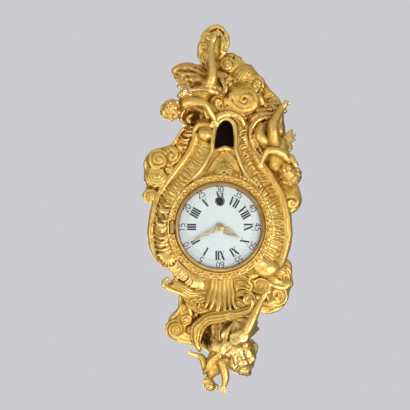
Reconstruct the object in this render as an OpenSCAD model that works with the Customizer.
// Wall clock of the cartel kind in gilt bronze: an asymmetric rococo case of scrolls, clouds and
// figures round an enamel dial, with a spring-driven pendulum movement in a drum behind it.
// +Z is up, the clock faces -Y, the wall is the plane Y = 0 and the origin is the hanging eye.
// Ornament points are written as [x, z, height above the wall], measured from the dial's centre.

/* [Case] */
// Drop from the hanging eye to the dial's centre
dial_drop = 90; // [84:1:96]
// Radius of the hanging eye
eye_r = 4; // [3:0.25:5]
// Thickness of the back frame
frame_t = 4; // [3.5:0.25:4.5]
// Width of the back frame's straps
strap_w = 16; // [13:0.5:20]
// Height of the dial's seat above the wall
seat_h = 60; // [58:0.5:64]
// Radial width of the ornament ring round the bezel
ring_w = 8; // [7:0.25:9]
// Height of the ornament ring above the dial's seat
ring_rise = 6; // [5:0.25:7]
// Gap left where two castings meet
seat_gap = 0.2; // [0.1:0.05:0.35]
// Radius of the case screws' shanks
screw_r = 1.5; // [1.2:0.1:1.9]
// Depth that the case screws reach into the castings
screw_bite = 8; // [6:0.5:10]

/* [Dial and bezel] */
// Radius of the enamel dial
dial_r = 52; // [51:0.25:53]
// Thickness of the dial at its rim
dial_t = 1.6; // [1.2:0.1:2]
// Rise of the dial's dome
dial_rise = 2; // [1.5:0.1:2.4]
// Radius of the winding hole in the dial
winding_hole_r = 4.6; // [4.2:0.1:5]
// Distance of the winding hole below the dial's centre
winding_drop = 31; // [30.5:0.1:31.5]
// Radial width of the bezel
bezel_w = 4.5; // [4:0.25:5]
// Height of the bezel
bezel_t = 9; // [8.5:0.25:10]
// Thickness of the glass
glass_t = 1.5; // [1.2:0.1:2]
// Rise of the glass dome
glass_rise = 5; // [4.5:0.25:6]
// Radius of the bezel's hinge pin
hinge_pin_r = 0.8; // [0.6:0.05:0.95]
// Radius of the hinge's knuckles
knuckle_r = 1.7; // [1.5:0.05:1.9]

/* [Hands] */
// Length of the minute hand
minute_len = 38; // [32:0.5:42]
// Length of the hour hand
hour_len = 29.5; // [24:0.5:32]
// Thickness of the hands
hand_t = 0.9; // [0.6:0.1:1.1]
// Minute hand's angle at rest, clockwise from twelve
minute_angle = 63; // [0:1:359]
// Hour hand's angle at rest, clockwise from twelve
hour_angle = 299; // [0:1:359]

/* [Movement] */
// Thickness of the movement's plates
plate_t = 2; // [1.5:0.1:2.3]
// Height of the back plate above the wall
plate_h = 20; // [19.5:0.1:20.5]
// Clear height between the plates
plate_gap = 24; // [23.5:0.1:24.5]
// Wall of the drum round the movement
drum_wall = 1.2; // [1:0.1:1.6]
// Radius of the mainspring barrel
barrel_r = 14.2; // [13:0.1:14.6]
// Length of the mainspring barrel
barrel_len = 12; // [11:0.25:13]
// Side of the winding square
winding_square = 4; // [3.5:0.1:4.4]
// Radius of the wheels' arbors
arbor_r = 1; // [0.8:0.05:1.15]
// Radius of the arbors' pivots
pivot_r = 0.6; // [0.45:0.05:0.7]
// Thickness of the wheels
wheel_t = 1.3; // [1:0.1:1.5]
// Radial clearance of turning fits
run_gap = 0.05; // [0.03:0.01:0.08]

/* [Pendulum] */
// Distance from the anchor's axis down to the bob's centre
pendulum_len = 113; // [108:1:118]
// Radius of the bob
bob_r = 13; // [11:0.5:14]
// Thickness of the bob
bob_t = 6; // [5:0.25:6.5]
// Radius of the pendulum rod
rod_r = 1; // [0.8:0.05:1.2]
// Swing to each side, in degrees
swing = 4; // [2:0.5:4]

/* [Hidden] */
$fn = 48;
cut = 0.01;
wall = 3.5;
$grow = 0;

// Colours of the finishes
gilt = "goldenrod";
brass = "darkkhaki";
steel = "slategray";

// Ornament heights are written for the drawn seat and rise with the real one
drawn_seat = 54;
lift = seat_h - drawn_seat;
web_h = seat_h - 16;

// Rolled edge of the cloud and cloth bodies, and the fall of a wing's hollow below its rim
edge_roll = 3.5;
cove_drop = 1.5;

// Bezel, ring and hinge, from the dial outwards
fit_gap = 0.3;
bezel_r = dial_r + 2;
bezel_h = seat_h + dial_t + fit_gap;
ring_bore = bezel_r + fit_gap;
ring_r = ring_bore + ring_w;
ring_h = seat_h + ring_rise;
ring_back = seat_h - 34;
hinge_x = bezel_r + 3;
hinge_h = bezel_h + 3.2;
leaf_half = 7.2;
knuckle_half = 2.9;
glass_seat = bezel_h + bezel_t - 3;
glass_profile = [[0, 1], [bezel_r * 0.5, 0.8], [bezel_r * 0.8, 0.35], [bezel_r - 3.1, 0]];

// Dial feet and the half outline of a hand, as shares of its width and length
dial_feet_at = [for (a = [20, 140, 260]) polar(38, a)];
hand_profile = [[0.3, 0], [0.3, 0.1], [0.5, 0.17], [1, 0.3], [0.55, 0.41], [0.25, 0.45], [0.72, 0.53],
  [0.3, 0.6], [0.42, 0.65], [0.18, 0.71], [0.1, 0.92], [0, 1]];

// Movement heights above the wall
back_h = plate_h + plate_t;
front_h = back_h + plate_gap;
work_h = front_h + plate_t;

// Train: teeth, modules and places of the arbors as [x, z]
great_n = 64;
inter_pinion_n = 8;
inter_n = 60;
centre_pinion_n = 10;
centre_n = 72;
third_pinion_n = 6;
third_n = 66;
escape_pinion_n = 6;
escape_n = 40;
leaf_root = 1.15;
great_m = 0.5;
inter_m = 0.5;
centre_m = 0.42;
third_m = 0.4;
escape_r = 9;
barrel_at = [0, -winding_drop];
inter_reach = [(great_n + inter_pinion_n) * great_m / 2, (inter_n + centre_pinion_n) * inter_m / 2];
inter_z = -(winding_drop * winding_drop + inter_reach[1] * inter_reach[1] - inter_reach[0] * inter_reach[0])
  / (2 * winding_drop);
inter_at = [sqrt(inter_reach[1] * inter_reach[1] - inter_z * inter_z), inter_z];
third_at = polar((centre_n + third_pinion_n) * centre_m / 2, 130);
escape_reach = (third_n + escape_pinion_n) * third_m / 2;
escape_at = [0, third_at[1] + sqrt(escape_reach * escape_reach - third_at[0] * third_at[0])];
anchor_at = [0, escape_at[1] + 13];
great_reach = great_n * great_m / 2 + great_m;
great_h = front_h - 2 - barrel_len - wheel_t;
centre_h = front_h - 7;
third_h = front_h - 13;
inter_h = back_h + 3;
escape_h = back_h + 4.5;

// Drum and plates, round the great wheel and the back cock
cock_reach = 11;
drum_clear = 1.3;
drum_in = max(winding_drop + great_reach, anchor_at[1] + cock_reach) + drum_clear;
drum_r = drum_in + drum_wall;
plate_r = drum_in - fit_gap;
pillar_r = 2.5;
pillar_at = [for (a = [45:90:315]) polar(plate_r - 8, a)];
stud_r = 1.5;

// Motion work
cannon_n = 12;
minute_n = 36;
minute_pinion_n = 10;
hour_n = 40;
minute_m = 0.4;
work_reach = (cannon_n + minute_n) * minute_m / 2;
hour_m = 2 * work_reach / (minute_pinion_n + hour_n);
minute_at = [work_reach, 0];
cannon_h = work_h + 0.5;
hour_wheel_h = cannon_h + 1.9;
centre_r = 1.2;
cannon_pipe_r = 2;
hour_pipe_r = 3.2;
dial_hole_r = 4.2;
hour_hand_h = seat_h + dial_t + dial_rise + 1.2;
minute_hand_h = hour_hand_h + 2.2;

// Winding work
ratchet_n = 24;
ratchet_r = 7;
click_pivot = [ratchet_r + 4.4, -winding_drop - 3];
spring_foot = click_pivot + [5.5, -8];
click_stud_r = 0.8;

// Pendulum and its cock
cheek_h = [5, 10.2];
cheek_t = 1.4;
pin_end_h = cheek_h[1] + cheek_t / 2;
block_h = [cheek_h[0] + cheek_t + 0.3, cheek_h[1] - 0.3];
block_mid = (block_h[0] + block_h[1]) / 2;
crutch_h = [13.2, 14.4];
bob_z = anchor_at[1] - pendulum_len;
pallet_angle = 38;
pallet_clear = 8.1 * sin(swing) + 0.2;

// Places of the case screws on the back frame, as [x, z]
screw_at = [[-68, 14], [-60, -50], [70, 8], [52, -52], [-60, 84], [-12, 78], [18, 78], [44, 116],
  [-34, -156], [-6, -150], [66, -76], [-86, -34], [6, -214]];

// Outlines and paths of the case
apron_outline = [[-42, -46], [-34, -62], [-25, -78], [-19, -92], [-18, -98], [5, -98], [9, -88],
  [17, -74], [26, -64], [40, -48]];
window_outline = [[-17, -99], [4, -98], [4, -110], [1, -120], [-5, -127], [-12, -130], [-17, -127]];
surround_outline = [[-20, -90], [-20, -128], [-14, -137], [-3, -137], [5, -128], [7, -116], [7, -90]];

left_rim = [[-46, 50, 56], [-56, 55, 54], [-67, 49, 50], [-76, 35, 47], [-81, 18, 46], [-82, 0, 46],
  [-80, -18, 46], [-75, -37, 46], [-66, -54, 46], [-55, -71, 45], [-45, -86, 44], [-37.5, -102, 44],
  [-33, -118, 44], [-28, -131, 44]];
left_strip = [[-47, -45, 50], [-39, -58, 50], [-31, -72, 49], [-25, -86, 48], [-22, -100, 47],
  [-22, -115, 46], [-23, -128, 46]];
left_rib_feet = [[-44, 46, 54], [-47, 43, 54], [-51, 37, 54], [-56, 28, 54], [-61, 15, 54], [-63, 1, 54],
  [-62, -13, 54], [-57, -27, 54], [-50, -40, 53], [-41, -55, 51], [-32, -72, 49], [-26, -90, 48],
  [-25, -108, 47], [-25, -124, 46]];
right_rim = [[62, 49, 51], [72, 45, 49], [81, 33, 47], [84.5, 19, 46], [85.5, 4, 46], [83, -14, 46],
  [78, -31, 46], [69, -48, 46], [58, -62, 46], [47.5, -75, 46], [38, -88, 46], [32, -101, 46],
  [26, -111, 46], [17, -119, 46]];
right_strip = [[46, -45, 50], [35, -58, 50], [25, -67, 50], [16, -79, 49], [11, -92, 48], [10, -105, 47],
  [10, -118, 46]];
right_rib_feet = [[54, 34, 54], [57, 28, 54], [61, 18, 54], [63, 5, 54], [62, -8, 54], [58, -21, 54],
  [51, -34, 54], [42, -48, 52], [30, -63, 50], [20, -78, 49], [14, -92, 48], [13, -104, 47],
  [13, -110, 47], [13, -112, 47]];
crest_path = [[-22, 91, 56], [-27, 84, 58], [-34, 86, 58], [-37, 95, 58], [-32, 103, 58], [-20, 106, 56],
  [-4, 106, 54], [12, 110, 52], [25, 118, 50], [33, 129, 48], [35, 140, 46], [30, 147, 44]];

// Outlines of the cloud and cloth bodies
upper_cloud_outline = [[-88, 66], [-86, 80], [-83, 92], [-75, 101], [-63, 106], [-48, 106], [-38, 100],
  [-30, 96], [-30, 60], [-40, 54], [-50, 57], [-62, 57], [-71, 50], [-78, 39], [-85, 38], [-88, 52]];
left_cloud_outline = [[-76, -12], [-86, -14], [-95, -20], [-98, -31], [-96, -43], [-90, -53], [-80, -60],
  [-70, -58], [-66, -48], [-74, -30]];
right_cloud_outline = [[74, -34], [84, -29], [92, -31], [94, -39], [92, -48], [93, -58], [94, -72],
  [91, -85], [81, -94], [67, -98], [58, -103], [51, -112], [43, -124], [34, -127], [28, -116], [34, -100],
  [45, -84], [57, -68], [68, -52]];
lower_cloud_outline = [[-81, -140], [-74, -153], [-64, -164], [-57, -176], [-49, -188], [-39, -198],
  [-26, -200], [-17, -191], [-8, -185], [4, -178], [14, -170], [22, -156], [20, -138], [14, -124], [7, -134],
  [-6, -138], [-19, -135], [-28, -126], [-36, -132], [-52, -136], [-68, -136]];
tail_outline = [[-28, -192], [-14, -184], [0, -186], [14, -188], [24, -196], [30, -208], [28, -222],
  [20, -236], [8, -244], [-4, -243], [-13, -235], [-14, -222], [-8, -212], [-18, -212], [-29, -206]];
shell_outline = [[-36, 54], [-22, 50], [20, 50], [34, 52], [40, 76], [36, 92], [28, 101], [-26, 100],
  [-36, 90], [-38, 74]];
rocaille_outline = [[36, 144], [55, 141], [66, 133], [70, 122], [64, 112], [57, 106], [58, 96], [54, 86],
  [48, 79], [34, 82], [26, 96], [26, 110], [34, 120], [38, 132]];
ear_outline = [[30, 84], [36, 87], [50, 82], [62, 76], [59, 64], [64, 50], [60, 45], [52, 40], [40, 48],
  [30, 56]];
skirt_outline = [[-40, 114], [-22, 106], [6, 109], [20, 118], [27, 132], [23, 147], [8, 153], [-20, 150],
  [-36, 132]];
left_cloth_outline = [[-72, -55], [-62, -64], [-50, -80], [-40, -94], [-34, -112], [-31, -127], [-38, -142],
  [-56, -149], [-74, -149], [-83, -138], [-87, -116], [-89, -96], [-84, -74]];
hem_outline = [[12, -170], [24, -168], [40, -166], [52, -170], [59, -180], [57, -192], [46, -197],
  [32, -196], [20, -192], [12, -182]];
back_cloth_outline = [[20, -128], [32, -124], [44, -126], [50, -136], [46, -150], [30, -158], [16, -152],
  [14, -138]];
knot_outline = [[-10, -166], [6, -160], [16, -166], [14, -180], [2, -190], [-10, -186]];

// Shared shapes
function polar(r, a) = [r * cos(a), r * sin(a)];
function at(p) = [p[0], -p[2] - lift, p[1]];
function flat(path) = [for (p = path) [p[0], p[1]]];
function reversed(path) = [for (i = [len(path) - 1:-1:0]) path[i]];
function along(path, t) = let(n = len(path) - 1, i = min(floor(t * n), n - 1), f = t * n - i)
  path[i] * (1 - f) + path[i + 1] * f;
function strap_root(z) = z > 0 ? 40 : z < -100 ? -100 : -30;
function bearing(from, to) = atan2(to[1] - from[1], to[0] - from[0]);
function tooth(n, m, share, tip, root) = let(r = n * m / 2, a = 180 * share / n)
  [[r - root * m, -a], [r, -a], [r + tip * m, 0], [r, a], [r - root * m, a]];
function leaf_core(n, m) = min(arbor_r, n * m / 2 - leaf_root * m);
function gear(n, m, share, tip, root) =
  [for (i = [0:n - 1]) for (q = tooth(n, m, share, tip, root)) polar(q[0], q[1] + 360 * i / n)];

module at_dial() translate([0, 0, -dial_drop]) children();
module slab(h0, h1) rotate([90, 0, 0]) translate([0, 0, h0]) linear_extrude(h1 - h0) children();
module turned(p = [0, 0]) translate([p[0], 0, p[1]]) rotate([90, 0, 0]) rotate_extrude() children();
module post(p, r, h0, h1) translate([p[0], 0, p[1]]) slab(h0, h1) circle(r);
module strap(a, b, w) {
  translate(a) rotate(bearing(a, b)) translate([0, -w / 2]) square([norm(b - a), w]);
  translate(b) circle(0.6 * w);
}

// Ornament forms grow by $grow where they are used to cut their neighbours
module bead(p, r) translate(at(p)) sphere(r + $grow, $fn = r > 7 ? 10 : r > 4.7 ? 8 : 6);
module chain(path, r0, r1) {
  n = len(path) - 1;
  for (i = [0:n - 1]) hull() {
    bead(path[i], r0 + (r1 - r0) * i / n);
    bead(path[i + 1], r0 + (r1 - r0) * (i + 1) / n);
  }
}
module swirl(c, size, thick, rise, turns = 1.5, start = 0, hand = 1) {
  n = round(turns * 5);
  function spot(s) = polar(size * (1 - 0.85 * s) - thick / 2, start + hand * 360 * turns * s);
  chain([for (i = [0:n]) c + [spot(i / n)[0], spot(i / n)[1], rise * i / n]], thick, thick * 0.55);
}
module ribs(outer, inner, n, t0, t1, r_out, r_in) {
  for (i = [0:n - 1]) let(t = t0 + (t1 - t0) * i / (n - 1)) hull() {
    bead(along(outer, t) - [0, 0, 1], r_out);
    bead(along(inner, t) - [0, 0, 1], r_in);
  }
}
module mass(list) hull() for (p = list) bead(p, p[3]);
module oval(c, r) translate(at(c)) scale([r[0] + $grow, r[2] + $grow, r[1] + $grow]) sphere(1, $fn = 10);
module body(outline, back, front) {
  slab(back + lift - $grow, front + lift - edge_roll + $grow) offset(delta = $grow) polygon(outline);
  slab(front + lift - 2 * edge_roll, front + lift + $grow) offset(delta = $grow - edge_roll)
    polygon(outline);
}
module cove(outer, inner) {
  for (i = [0:len(outer) - 2]) hull() for (p = [outer[i], outer[i + 1], inner[i], inner[i + 1]])
    translate([p[0], 0, p[1]]) slab(web_h - wall, p[2] + lift - cove_drop + $grow)
      square(1 + 2 * $grow, center = true);
}
module boss(p, r, top) post(p, r + $grow, frame_t, top + lift);
module web(outline) {
  slab(web_h - wall, web_h) polygon(outline);
  slab(frame_t, web_h) difference() {
    polygon(outline);
    if ($grow == 0) offset(delta = -wall) polygon(outline);
  }
}
module screw_holes() {
  for (p = screw_at) post(p, screw_r + seat_gap, -cut, frame_t + screw_bite + seat_gap, $fn = 12);
}
module cartouche_envelope() {
  post([0, 0], (ring_r + seat_gap) / cos(180 / 36), -cut, ring_h + bezel_t, $fn = 36);
  slab(ring_back, seat_h) offset(seat_gap) polygon(apron_outline);
  slab(ring_back, seat_h) offset(seat_gap) polygon(surround_outline);
}
module pendulum_room() {
  slab(frame_t - cut, ring_back + cut) polygon([[-bob_r - 12, bob_z - bob_r - 8],
    [bob_r + 12, bob_z - bob_r - 8], [bob_r + 4, -drum_r], [-bob_r - 4, -drum_r]]);
}
module behind_frame() slab(-40, frame_t + seat_gap) square(1000, center = true);

// Back frame that hangs on the wall and carries every casting
module back_frame() color(steel) at_dial() difference() {
  slab(0, frame_t) difference() {
    union() {
      circle(ring_r - 2);
      for (p = screw_at) strap([0, strap_root(p[1])], p, strap_w);
      strap([0, 40], [0, dial_drop], strap_w);
      translate([-6 - 1.5 * strap_w, -146]) square([3 * strap_w, 106]);
    }
    circle(drum_in - 3);
  }
  post([0, dial_drop], eye_r, -cut, frame_t + cut);
  for (p = screw_at) {
    post(p, screw_r + run_gap, -cut, frame_t + cut);
    post(p, 2 * screw_r + fit_gap, -cut, frame_t / 2);
  }
}
module case_screws() color(steel) at_dial() for (p = screw_at) difference() {
  union() {
    post(p, screw_r, frame_t / 2, frame_t + screw_bite);
    post(p, 2 * screw_r, fit_gap, frame_t / 2);
  }
  translate([p[0], 0, p[1]]) slab(0, 0.8) square([5 * screw_r, 0.8], center = true);
}

// Main casting: dial ring, apron and the frame of the pendulum window
module main_cartouche() color(gilt) at_dial() difference() {
  union() {
    turned() polygon([[drum_r + fit_gap, ring_back], [ring_r - 2, ring_back], [ring_r, ring_back + 4],
      [ring_r, ring_h - 4], [ring_r - 3, ring_h - 0.6], [ring_bore + 2, ring_h], [ring_bore, ring_h - 1.2],
      [ring_bore, seat_h + dial_t],
      [dial_r + fit_gap, seat_h + dial_t], [dial_r + fit_gap, seat_h], [drum_r + fit_gap, seat_h]]);
    difference() {
      slab(ring_back + 18, seat_h - 2) polygon(apron_outline);
      post([0, 0], ring_r - 1, ring_back, seat_h);
    }
    difference() {
      slab(ring_back + 16, seat_h - 8) polygon(surround_outline);
      slab(ring_back, seat_h) polygon(window_outline);
    }
  }
  slab(seat_h - 4, seat_h - 1) polygon(window_outline);
  translate([hinge_x - 3.4, 0, 0]) slab(seat_h + 0.4, ring_h + cut) translate([0, -leaf_half - fit_gap])
    square([7, 2 * (leaf_half + fit_gap)]);
}

// Castings of the case
module left_wing_form() {
  chain(left_rim, 4.4, 3);
  chain(left_strip, 2.6, 2.4);
  cove(left_rim, left_rib_feet);
  ribs(left_rim, left_rib_feet, 14, 0.08, 1, 3, 2.2);
  for (i = [0, 1]) boss(screw_at[i], 6, web_h - lift);
  web(concat(flat(left_rim), reversed(flat(left_strip)), [[-30, -30], [-30, 40]]));
}
module left_wing() color(gilt) at_dial() difference() {
  left_wing_form();
  cartouche_envelope();
  pendulum_room();
  screw_holes();
}
module right_wing_form() {
  chain(right_rim, 3.6, 3);
  chain(right_strip, 2.6, 2.4);
  cove(right_rim, right_rib_feet);
  ribs(right_rim, right_rib_feet, 12, 0.02, 0.84, 3.4, 2.4);
  for (i = [2, 3]) boss(screw_at[i], 6, web_h - lift);
  bead([17, -112, 45], 7.5);
  web(concat(flat(right_rim), reversed(flat(right_strip)), [[30, -30], [30, 40]]));
}
module right_wing() color(gilt) at_dial() difference() {
  right_wing_form();
  cartouche_envelope();
  pendulum_room();
  screw_holes();
}
module crest_shell_form() {
  for (i = [0:7]) let(x = -25 + i * 7)
    chain([[x * 0.9, 58, 53], [x * 0.95, 76, 56], [x * 1.1, 98, 51]], 4, 3.4);
  body(shell_outline, 26, 52);
  for (i = [5, 6]) boss(screw_at[i], 7, 44);
}
module crest_shell() color(gilt) at_dial() difference() {
  crest_shell_form();
  cartouche_envelope();
  screw_holes();
}
module crest_scroll_form() {
  chain(crest_path, 6.6, 5.6);
  chain([for (i = [4:len(crest_path) - 1]) crest_path[i] - [0, 1, 9]], 5.4, 5);
  mass([[6, 106, 36, 6], [26, 114, 34, 6], [14, 100, 20, 7], [0, 94, frame_t + 8 - lift, 7]]);
}
module crest_scroll() color(gilt) at_dial() difference() {
  crest_scroll_form();
  let($grow = seat_gap) crest_shell_form();
  cartouche_envelope();
  behind_frame();
}
module crest_rocaille_form() {
  body(rocaille_outline, 14, 39);
  swirl([56, 126, 41], 9.5, 3, 4, 1.2, 90, -1);
  oval([42, 113, 38], [10, 10, 8]);
  oval([48, 100, 38], [8, 8, 6.4]);
  chain([[26, 99, 46], [35, 91, 47], [43, 82, 44]], 5, 6);
  boss(screw_at[7], 7, 26);
}
module crest_rocaille() color(gilt) at_dial() difference() {
  crest_rocaille_form();
  let($grow = seat_gap) {
    crest_scroll_form();
    crest_shell_form();
  }
  cartouche_envelope();
  screw_holes();
}
module ear_scroll_form() {
  chain([[24, 75, 48], [36, 76, 51], [48, 73, 53], [58, 70, 54]], 9, 5);
  chain([[58, 71, 55], [65, 71, 56], [68, 67, 55], [64, 64, 54]], 4, 2.4);
  chain([[36, 62, 50], [47, 56, 50], [58, 50, 47], [67, 47, 44]], 5.4, 3);
  body(ear_outline, 26, 52);
}
module ear_scroll() color(gilt) at_dial() difference() {
  ear_scroll_form();
  let($grow = seat_gap) {
    crest_scroll_form();
    crest_shell_form();
    crest_rocaille_form();
    right_wing_form();
  }
  cartouche_envelope();
  behind_frame();
}
module upper_cloud_form() {
  body(upper_cloud_outline, 14, 40);
  swirl([-69.5, 83.5, 42], 12, 3, 4, 1.2, 20);
  oval([-50, 71.5, 40], [11.5, 11.5, 9]);
  oval([-35, 70, 43], [7.5, 7.5, 7]);
  chain([[-85, 82, 36], [-80, 92, 38], [-70, 101, 40], [-55, 105, 41], [-40, 100, 43]], 3.6, 3.4);
  boss(screw_at[4], 10, 30);
}
module upper_cloud() color(gilt) at_dial() difference() {
  upper_cloud_form();
  let($grow = seat_gap) {
    left_wing_form();
    crest_scroll_form();
    crest_shell_form();
  }
  cartouche_envelope();
  screw_holes();
}
module left_cloud_form() {
  body(left_cloud_outline, 14, 37);
  swirl([-88.5, -31, 38], 10, 3, 4, 1.2, 60);
  boss(screw_at[11], 7, 28);
}
module left_cloud() color(gilt) at_dial() difference() {
  left_cloud_form();
  let($grow = seat_gap) left_wing_form();
  screw_holes();
}
module right_cloud_form() {
  body(right_cloud_outline, 14, 39);
  swirl([79, -65, 40], 14, 3, 4, 1.2, 20);
  oval([86, -38.5, 37], [8.6, 8.6, 7]);
  oval([74.5, -82.5, 38], [12.5, 12.5, 10]);
  oval([57.5, -87.5, 38], [10.5, 10.5, 8]);
  boss(screw_at[10], 10, 24);
}
module right_cloud() color(gilt) at_dial() difference() {
  right_cloud_form();
  let($grow = seat_gap) right_wing_form();
  screw_holes();
}
module lower_cloud_form() {
  body(lower_cloud_outline, 14, 40);
  oval([-30, -155, 42], [21, 21, 11]);
  swirl([-30, -155, 47], 18, 3.4, 5, 1.6, 40);
  oval([0, -149.5, 42], [10.5, 10.5, 9]);
  oval([-47.5, -171.5, 38], [10.5, 10.5, 8.5]);
  oval([-33, -186.5, 37], [13.5, 13.5, 11]);
  oval([-14, -172, 38], [9.5, 9.5, 8]);
  chain([[-26, -130, 44], [-20, -136, 46], [-8, -138, 46], [4, -132, 46], [8, -122, 46]], 3.8, 3.4);
  boss(screw_at[8], 12, 30);
  boss(screw_at[9], 9, 30);
}
module lower_cloud() color(gilt) at_dial() difference() {
  lower_cloud_form();
  let($grow = seat_gap) {
    left_wing_form();
    right_wing_form();
    right_cloud_form();
  }
  cartouche_envelope();
  pendulum_room();
  screw_holes();
}
module tail_cloud_form() {
  body(tail_outline, 12, 35);
  oval([-9, -198, 35], [9.5, 9.5, 8]);
  chain([[-14, -188, 32], [-22, -200, 33], [-27, -209, 32]], 6, 3.6);
  chain([[-4, -210, 36], [-10, -222, 38], [-8, -233, 38], [1, -240, 37]], 3.6, 3.2);
  chain([[17, -204, 36], [22, -214, 37], [16, -229, 37]], 6, 5);
  boss(screw_at[12], 9, 24);
}
module tail_cloud() color(gilt) at_dial() difference() {
  tail_cloud_form();
  let($grow = seat_gap) lower_cloud_form();
  screw_holes();
}

// Figures and their cloth
module crest_figure_form() {
  chain([[0, 149, 46], [3, 160, 48], [9, 171, 48]], 9.4, 8);
  chain([[10, 175, 48], [12, 182, 50]], 3.8, 3.6);
  bead([13, 187, 51], 8.2);
  chain([[3, 172, 50], [-1, 164, 58], [-6, 180, 59], [-4, 191, 57], [-4, 196, 56]], 4.4, 1.8);
  chain([[18, 172, 48], [19, 160, 46], [26, 155, 47], [33, 153, 48]], 4.2, 2.2);
  chain([[-2, 146, 52], [-18, 136, 60], [-32, 125, 64]], 8.4, 5.8);
  chain([[-32, 125, 64], [-39, 109, 65], [-47, 93, 64], [-53, 82, 62], [-57, 76, 63]], 5.4, 2);
}
module crest_figure() color(gilt) at_dial() difference() {
  crest_figure_form();
  let($grow = seat_gap) {
    crest_scroll_form();
    upper_cloud_form();
    crest_shell_form();
  }
}
module crest_drapery_form() {
  body(skirt_outline, 22, 44);
  oval([-26, 160, 44], [13, 18, 10]);
  oval([-13, 158, 45], [14, 13, 10]);
  oval([-35, 149, 44], [9.5, 9, 9]);
  oval([-8, 144, 48], [20, 10, 12]);
  oval([-16, 130, 50], [20, 13, 12]);
  oval([0, 126, 46], [12, 15, 10]);
  chain([[-28, 128, 54], [-36, 121, 55], [-41, 116, 55]], 5, 3);
  chain([[-34, 176, 42], [-40, 162, 46], [-36, 148, 50], [-20, 140, 54]], 3, 4);
  chain([[-8, 130, 38], [2, 126, 24], [14, 120, 14]], 9, 8);
}
module crest_drapery() color(gilt) at_dial() difference() {
  crest_drapery_form();
  let($grow = seat_gap) {
    crest_figure_form();
    crest_scroll_form();
    crest_shell_form();
    crest_rocaille_form();
  }
  behind_frame();
}
module left_putto_form() {
  bead([-86, -61, 56], 11.8);
  mass([[-82, -72, 50, 8], [-64, -76, 44, 7], [-72, -92, 46, 9]]);
  chain([[-76, -84, 50], [-71, -102, 50]], 10, 10);
  chain([[-81, -82, 58], [-58, -91, 63], [-51, -79, 54]], 4.8, 3);
  chain([[-68, -102, 54], [-63, -114, 61], [-64, -125, 60]], 8, 5.8);
  chain([[-64, -125, 60], [-73, -136, 54], [-80, -145, 52]], 5.4, 3);
  chain([[-60, -102, 48], [-48, -107, 54], [-46, -118, 50]], 7.4, 5);
  chain([[-77, -96, 40], [-85, -105, 40], [-91, -112, 40]], 6, 2.4);
}
module left_putto() color(gilt) at_dial() difference() {
  left_putto_form();
  let($grow = seat_gap) {
    left_wing_form();
    left_cloud_form();
    lower_cloud_form();
  }
}
module left_drapery_form() {
  body(left_cloth_outline, 14, 40);
  chain([[-38, -97, 46], [-35, -110, 48], [-40, -123, 49], [-52, -131, 49], [-64, -131, 46]], 3.6, 5);
  oval([-58, -128, 42], [13, 12, 8]);
  chain([[-68, -140, 42], [-58, -147, 45], [-46, -147, 45]], 5, 4);
  chain([[-52, -112, 36], [-58, -120, 24], [-62, -128, 14]], 9, 8);
}
module left_drapery() color(gilt) at_dial() difference() {
  left_drapery_form();
  let($grow = seat_gap) {
    left_putto_form();
    left_wing_form();
    left_cloud_form();
    lower_cloud_form();
  }
  behind_frame();
}
module right_putto_form() {
  bead([57, -139, 54], 12.8);
  mass([[44, -148, 47, 8], [26, -151, 48, 7], [26, -168, 46, 9], [36, -164, 46, 8]]);
  chain([[42, -147, 54], [19, -148, 58], [11, -139, 57], [5, -127, 53]], 5.8, 3);
  chain([[18, -164, 50], [9, -173, 58], [8, -191, 62]], 8.4, 6.2);
  chain([[8, -191, 62], [10, -204, 57], [9, -217, 53], [6, -227, 54], [3, -236, 55]], 5.6, 2.4);
}
module right_putto() color(gilt) at_dial() difference() {
  right_putto_form();
  let($grow = seat_gap) {
    right_wing_form();
    right_cloud_form();
    lower_cloud_form();
    tail_cloud_form();
  }
  cartouche_envelope();
}
module right_drapery_form() {
  body(hem_outline, 14, 43);
  body(back_cloth_outline, 14, 38);
  body(knot_outline, 14, 46);
  chain([[38, -160, 56], [46, -159, 54], [46, -168, 52], [44, -176, 46]], 5, 4.6);
  chain([[5, -161, 57], [16, -164, 61], [28, -167, 59], [38, -164, 56]], 3.6, 3.8);
  mass([[35, -132, 34, 7], [38, -150, 34, 9], [26, -166, 30, 9]]);
  mass([[26, -170, 32, 9], [12, -184, 28, 8], [14, -196, 28, 7]]);
}
module right_drapery() color(gilt) at_dial() difference() {
  right_drapery_form();
  let($grow = seat_gap) {
    right_putto_form();
    right_wing_form();
    right_cloud_form();
    lower_cloud_form();
    tail_cloud_form();
  }
  cartouche_envelope();
  behind_frame();
}

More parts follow.
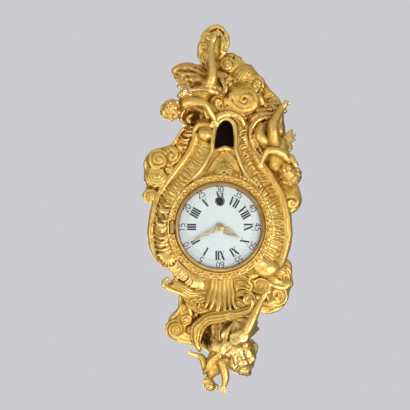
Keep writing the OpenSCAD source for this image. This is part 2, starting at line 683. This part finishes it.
// Drum, dial and bezel
module movement_drum() color(brass) at_dial() difference() {
  turned() polygon([[drum_in, frame_t], [drum_r, frame_t], [drum_r, seat_h], [drum_in, seat_h]]);
  slab(frame_t - cut, plate_h - 3) translate([-bob_r - 3, -drum_r - 1]) square([2 * bob_r + 6, 12]);
}
module dial() color("white") at_dial() difference() {
  turned() polygon([[dial_hole_r, seat_h], [dial_r, seat_h], [dial_r, seat_h + dial_t],
    [dial_r * 0.6, seat_h + dial_t + dial_rise * 0.7], [dial_hole_r, seat_h + dial_t + dial_rise]]);
  post(barrel_at, winding_hole_r, seat_h - cut, seat_h + dial_t + dial_rise);
}
module dial_feet() color(brass) at_dial() for (p = dial_feet_at) {
  post(p, 1.6, work_h, seat_h);
  post(p, 1, front_h, work_h);
}
module hinge_leaf() color(gilt) at_dial() difference() {
  union() {
    translate([hinge_x - 2.6, 0, 0]) slab(seat_h + 0.4, hinge_h - knuckle_r - fit_gap)
      translate([0, -leaf_half]) square([5.6, 2 * leaf_half]);
    for (s = [-1, 1]) translate([hinge_x, -hinge_h, s * (leaf_half + knuckle_half + fit_gap) / 2]) {
      cylinder(r = knuckle_r, h = leaf_half - knuckle_half - fit_gap, center = true);
      translate([0, (hinge_h - seat_h - 0.4) / 2, 0])
        cube([2 * knuckle_r, hinge_h - seat_h - 0.4, leaf_half - knuckle_half - fit_gap], center = true);
    }
  }
  translate([hinge_x, -hinge_h, 0]) cylinder(r = hinge_pin_r, h = 3 * leaf_half, center = true);
}
module hinge_pin() color(steel) at_dial() translate([hinge_x, -hinge_h, 0])
  cylinder(r = hinge_pin_r, h = 2 * leaf_half, center = true);
module bezel() color(gilt) at_dial() difference() {
  union() {
    turned() polygon([[bezel_r - bezel_w, bezel_h + 1], [bezel_r - bezel_w + 1, bezel_h], [bezel_r, bezel_h],
      [bezel_r, bezel_h + bezel_t - 4], [bezel_r - 1.4, bezel_h + bezel_t - 1],
      [bezel_r - 3, bezel_h + bezel_t], [bezel_r - 3, glass_seat], [bezel_r - bezel_w, glass_seat]]);
    translate([hinge_x, -hinge_h, 0]) {
      cylinder(r = knuckle_r, h = 2 * knuckle_half, center = true);
      translate([-2.4, -0.4, 0]) cube([4.2, 2 * knuckle_r - 0.8, 2 * knuckle_half], center = true);
    }
  }
  translate([hinge_x, -hinge_h, 0]) cylinder(r = hinge_pin_r + run_gap, h = 3 * leaf_half, center = true);
}
module glass() color("lightcyan", 0.3) at_dial() turned() translate([0, glass_seat]) polygon(concat(
  [for (q = glass_profile) [q[0], q[1] * glass_rise]],
  reversed([for (q = glass_profile) [q[0], q[1] * glass_rise + glass_t]])));

// Hands: a boss, a pierced stem and a pointed tip, drawn upright and turned to their angle
module hand_outline(len, wide, boss_r, bore) difference() {
  union() {
    circle(boss_r);
    polygon(concat([for (q = hand_profile) [q[0] * wide, q[1] * len]],
      reversed([for (q = hand_profile) [-q[0] * wide, q[1] * len]])));
  }
  circle(bore);
  for (s = [-1, 1]) translate([s * wide * 0.5, len * 0.3]) circle(wide * 0.22);
}
module hour_hand() color(brass) at_dial() slab(hour_hand_h, hour_hand_h + hand_t) rotate(-hour_angle)
  hand_outline(hour_len, 4.2, hour_pipe_r + 1.4, hour_pipe_r);
module minute_hand() color(brass) at_dial() slab(minute_hand_h, minute_hand_h + hand_t) rotate(-minute_angle)
  hand_outline(minute_len, 3, cannon_pipe_r + 2, cannon_pipe_r);
module hand_nut() color(brass) at_dial() turned() polygon([[centre_r + run_gap, minute_hand_h + hand_t],
  [cannon_pipe_r + 1.4, minute_hand_h + hand_t], [cannon_pipe_r + 1, minute_hand_h + hand_t + 1.2],
  [centre_r + run_gap, minute_hand_h + hand_t + 1.6]]);

// Movement frame
module plate_holes(holes) for (q = holes) translate(q[0]) circle(q[1]);
module front_plate() color(brass) at_dial() slab(front_h, work_h) difference() {
  circle(plate_r);
  plate_holes(concat([for (p = pillar_at) [p, stud_r + run_gap]], [for (p = dial_feet_at) [p, 1]],
    [[[0, 0], centre_r + run_gap], [barrel_at, winding_square * 0.75 + run_gap],
     [inter_at, pivot_r + run_gap], [third_at, pivot_r + run_gap], [escape_at, pivot_r + run_gap],
     [anchor_at, pivot_r + run_gap], [minute_at, arbor_r + run_gap], [click_pivot, click_stud_r + run_gap],
     [spring_foot, click_stud_r + run_gap]]));
}
module back_plate() color(brass) at_dial() slab(plate_h, back_h) difference() {
  circle(plate_r);
  plate_holes(concat([for (p = pillar_at) [p, stud_r + run_gap]],
    [[[0, 0], pivot_r + run_gap], [barrel_at, stud_r + run_gap], [inter_at, pivot_r + run_gap],
     [third_at, pivot_r + run_gap], [escape_at, pivot_r + run_gap], [anchor_at, arbor_r + 1.5]]));
}
module pillars() color(brass) at_dial() for (p = pillar_at) {
  post(p, pillar_r, back_h, front_h);
  post(p, stud_r, plate_h - 2.2, work_h + 2.2);
}
module pillar_nuts() color(steel) at_dial() for (p = pillar_at) for (h = [plate_h - 1.8, work_h])
  translate([p[0], 0, p[1]]) slab(h, h + 1.8) difference() {
    circle(3, $fn = 6);
    circle(stud_r);
  }

// Train: every wheel is riveted to its pinion and arbor
module crossed_wheel(p, n, m, phase, h, hub) translate([p[0], 0, p[1]]) slab(h, h + wheel_t) difference() {
  rotate(phase) polygon(gear(n, m, 0.42, 0.85, 1.2));
  for (a = [45:90:315]) translate(polar(n * m * 0.29, a)) circle(min(n * m * 0.14, n * m * 0.29 - hub));
}
module leaves(p, n, m, phase, h0, h1) translate([p[0], 0, p[1]]) slab(h0, h1)
  rotate(phase + 180 / n) polygon(gear(n, m, 0.34, 0.6, leaf_root));
module arbor(p, r) {
  post(p, r, back_h + 0.3, front_h - 0.3);
  post(p, pivot_r, plate_h, work_h);
}
module barrel() color(brass) at_dial() difference() {
  union() {
    post(barrel_at, barrel_r, great_h + wheel_t, great_h + wheel_t + barrel_len);
    translate([barrel_at[0], 0, barrel_at[1]]) slab(great_h, great_h + wheel_t)
      rotate(bearing(barrel_at, inter_at)) polygon(gear(great_n, great_m, 0.42, 0.85, 1.2));
  }
  post(barrel_at, winding_square * 0.75 + run_gap, great_h - cut, front_h);
  turned(barrel_at) translate([winding_square * 0.75 + 2, great_h + wheel_t + 1])
    square([barrel_r - 3.2 - winding_square * 0.75, barrel_len - 2]);
}
module winding_arbor() color(steel) at_dial() {
  post(barrel_at, winding_square * 0.75, great_h - 1, work_h + 0.3);
  post(barrel_at, stud_r, plate_h, great_h - 1);
  translate([barrel_at[0], 0, barrel_at[1]]) slab(work_h + 0.3, seat_h + dial_t)
    square(winding_square, center = true);
}
module ratchet_wheel() color(steel) at_dial() translate([barrel_at[0], 0, barrel_at[1]])
  slab(work_h + 0.4, work_h + 1.9) difference() {
    polygon([for (i = [0:ratchet_n - 1]) for (q = [[ratchet_r - 1, 0], [ratchet_r, 0.2]])
      polar(q[0], 360 * (i + q[1]) / ratchet_n)]);
    square(winding_square, center = true);
  }
module click() color(steel) at_dial() {
  slab(work_h + 0.4, work_h + 1.9) {
    translate(click_pivot) circle(1.9);
    polygon([click_pivot + [-1.4, 1], click_pivot + [1.4, 1], click_pivot + [-1.6, 7],
      [ratchet_r + 0.25, -winding_drop + 2.2], [ratchet_r + 0.3, -winding_drop + 0.6]]);
  }
  post(click_pivot, click_stud_r, front_h + 0.3, work_h + 0.4);
}
module click_spring() color(steel) at_dial() {
  slab(work_h + 0.4, work_h + 1.6) {
    translate(spring_foot) circle(1.6);
    translate(click_pivot) polygon([[5, -7], [6, -7], [3.2, 5], [2.6, 5]]);
  }
  post(spring_foot, click_stud_r, front_h + 0.3, work_h + 0.4);
}
module intermediate_wheel() color(brass) at_dial() {
  crossed_wheel(inter_at, inter_n, inter_m, bearing(inter_at, [0, 0]), inter_h, 3.4);
  leaves(inter_at, inter_pinion_n, great_m, bearing(inter_at, barrel_at), great_h - 1.2,
    great_h + wheel_t + 1.2);
  arbor(inter_at, leaf_core(inter_pinion_n, great_m));
}
module centre_wheel() color(brass) at_dial() {
  crossed_wheel([0, 0], centre_n, centre_m, bearing([0, 0], third_at), centre_h, 3.4);
  leaves([0, 0], centre_pinion_n, inter_m, bearing([0, 0], inter_at), inter_h - 1, inter_h + wheel_t + 1.2);
  post([0, 0], arbor_r, back_h + 0.3, centre_h + 0.1);
  post([0, 0], pivot_r, plate_h, back_h + 0.4);
  post([0, 0], centre_r, centre_h, minute_hand_h + hand_t + 2.2);
}
module third_wheel() color(brass) at_dial() {
  crossed_wheel(third_at, third_n, third_m, bearing(third_at, escape_at), third_h, 3);
  leaves(third_at, third_pinion_n, centre_m, bearing(third_at, [0, 0]), centre_h - 1.2,
    centre_h + wheel_t + 1.2);
  arbor(third_at, leaf_core(third_pinion_n, centre_m));
}
module escape_wheel() color(brass) at_dial() {
  translate([escape_at[0], 0, escape_at[1]]) slab(escape_h, escape_h + wheel_t) difference() {
    polygon([for (i = [0:escape_n - 1])
      for (q = [[escape_r - 1.5, 0], [escape_r, 0.34], [escape_r, 0.44], [escape_r - 1.5, 0.6]])
        polar(q[0], 360 * (i + q[1]) / escape_n)]);
    for (a = [45:90:315]) translate(polar(4.7, a)) circle(2);
  }
  leaves(escape_at, escape_pinion_n, third_m, bearing(escape_at, third_at), third_h - 1.2,
    third_h + wheel_t + 1.2);
  arbor(escape_at, leaf_core(escape_pinion_n, third_m));
}

// Escapement: the pallets stay clear of the tooth tips at both ends of the swing
module anchor() color(steel) at_dial() {
  slab(escape_h - 0.2, escape_h + wheel_t + 0.2) {
    translate(anchor_at) circle(2.4);
    for (s = [-1, 1]) let(tip = escape_at + polar(escape_r + pallet_clear, 90 - s * pallet_angle),
        outer = escape_at + polar(escape_r + pallet_clear + 2.2, 90 - s * (pallet_angle + 8)))
      polygon([anchor_at + [0, 2], anchor_at + [s * 1.8, 1], outer, tip, anchor_at + [0, -1.8]]);
  }
  post(anchor_at, arbor_r, crutch_h[1], front_h - 0.3);
  post(anchor_at, pivot_r, crutch_h[0] - cut, work_h);
  post(anchor_at, hinge_pin_r, pin_end_h + 0.1, crutch_h[0]);
}
module crutch() color(steel) at_dial() difference() {
  union() {
    slab(crutch_h[0], crutch_h[1]) {
      translate(anchor_at) circle(2.6);
      translate(anchor_at + [-1, -26]) square([2, 25]);
      translate(anchor_at + [-4, -27]) square([8, 3]);
    }
    for (s = [-1, 1]) translate([s * (rod_r + 1.2), 0, anchor_at[1] - 25.5])
      slab(block_mid - 2, crutch_h[0] + 0.2) square([1.6, 2.4], center = true);
  }
  post(anchor_at, pivot_r, 0, front_h);
}
module back_cock() color(brass) at_dial() difference() {
  union() {
    slab(cheek_h[1] + cheek_t, plate_h) translate(anchor_at + [-7, 5]) square([14, cock_reach - 5]);
    for (h = [cheek_h[0], cheek_h[1]]) slab(h, h + cheek_t) {
      translate(anchor_at) circle(3.4);
      translate(anchor_at + [-3.4, 0]) square([6.8, cock_reach]);
    }
    slab(cheek_h[0], cheek_h[1] + cheek_t) translate(anchor_at + [-3.4, 6]) square([6.8, cock_reach - 6]);
  }
  post(anchor_at, hinge_pin_r + run_gap, 0, plate_h);
  for (s = [-1, 1]) post(anchor_at + [s * 5, 8], 1 + run_gap, 0, plate_h + cut);
}
module cock_screws() color(steel) at_dial() for (s = [-1, 1]) {
  post(anchor_at + [s * 5, 8], 1, cheek_h[1] + cheek_t, plate_h);
  post(anchor_at + [s * 5, 8], 1.5, cheek_h[1] + cheek_t - 1.2, cheek_h[1] + cheek_t);
}

// Pendulum: a pinned suspension block, its spring, the rod, the bob and the rating nut
module suspension() color(steel) at_dial() {
  post(anchor_at, hinge_pin_r, cheek_h[0], pin_end_h - 0.1);
  slab(block_h[0], block_h[1]) translate(anchor_at + [-1.6, -2.4]) square([3.2, 4.4]);
  slab(block_mid - 1.4, block_mid + 1.4) translate(anchor_at + [-0.15, -12]) square([0.3, 10]);
  slab(block_h[0], block_h[1]) translate(anchor_at + [-1.6, -16]) square([3.2, 4.2]);
}
module pendulum_rod() color(steel) at_dial() translate([anchor_at[0], -block_mid, anchor_at[1]])
  translate([0, 0, -pendulum_len - bob_r - 7]) cylinder(r = rod_r, h = pendulum_len + bob_r + 7 - 16);
module pendulum_bob() color(brass) at_dial() difference() {
  turned([anchor_at[0], bob_z]) translate([0, block_mid]) polygon([[0, -bob_t / 2],
    [bob_r * 0.7, 0.4 - bob_t / 2], [bob_r, -0.4], [bob_r, 0.4], [bob_r * 0.7, bob_t / 2 - 0.4],
    [0, bob_t / 2]]);
  translate([anchor_at[0], -block_mid, bob_z]) cylinder(r = rod_r + run_gap, h = 4 * bob_r, center = true);
}
module rating_nut() color(brass) at_dial()
  translate([anchor_at[0], -block_mid, bob_z - bob_r - 3.2]) difference() {
    cylinder(r = 2.6, h = 3, $fn = 12);
    translate([0, 0, -cut]) cylinder(r = rod_r + run_gap, h = 4);
  }

// Motion work behind the dial
module cannon_pinion() color(steel) at_dial() difference() {
  union() {
    leaves([0, 0], cannon_n, minute_m, bearing([0, 0], minute_at), cannon_h - 0.3, cannon_h + wheel_t + 0.3);
    post([0, 0], cannon_pipe_r, work_h + 0.1, minute_hand_h + hand_t);
  }
  post([0, 0], centre_r + run_gap, work_h, minute_hand_h + hand_t + 1);
}
module minute_wheel() color(brass) at_dial() {
  translate([minute_at[0], 0, minute_at[1]]) slab(cannon_h, cannon_h + wheel_t)
    rotate(bearing(minute_at, [0, 0])) polygon(gear(minute_n, minute_m, 0.42, 0.85, 1.2));
  leaves(minute_at, minute_pinion_n, hour_m, bearing(minute_at, [0, 0]), cannon_h + wheel_t,
    hour_wheel_h + wheel_t + 0.2);
  post(minute_at, arbor_r, front_h + 0.3, cannon_h);
}
module hour_wheel() color(brass) at_dial() difference() {
  union() {
    slab(hour_wheel_h, hour_wheel_h + wheel_t) rotate(bearing([0, 0], minute_at))
      polygon(gear(hour_n, hour_m, 0.42, 0.85, 1.2));
    post([0, 0], hour_pipe_r, hour_wheel_h, hour_hand_h + hand_t);
  }
  post([0, 0], cannon_pipe_r + run_gap, hour_wheel_h - cut, hour_hand_h + 2);
}

back_frame();
case_screws();
main_cartouche();
left_wing();
right_wing();
crest_shell();
crest_scroll();
crest_rocaille();
ear_scroll();
upper_cloud();
left_cloud();
right_cloud();
lower_cloud();
tail_cloud();
crest_figure();
crest_drapery();
left_putto();
left_drapery();
right_putto();
right_drapery();
movement_drum();
dial();
dial_feet();
hinge_leaf();
hinge_pin();
bezel();
glass();
hour_hand();
minute_hand();
hand_nut();
front_plate();
back_plate();
pillars();
pillar_nuts();
barrel();
winding_arbor();
ratchet_wheel();
click();
click_spring();
intermediate_wheel();
centre_wheel();
third_wheel();
escape_wheel();
anchor();
crutch();
back_cock();
cock_screws();
suspension();
pendulum_rod();
pendulum_bob();
rating_nut();
cannon_pinion();
minute_wheel();
hour_wheel();
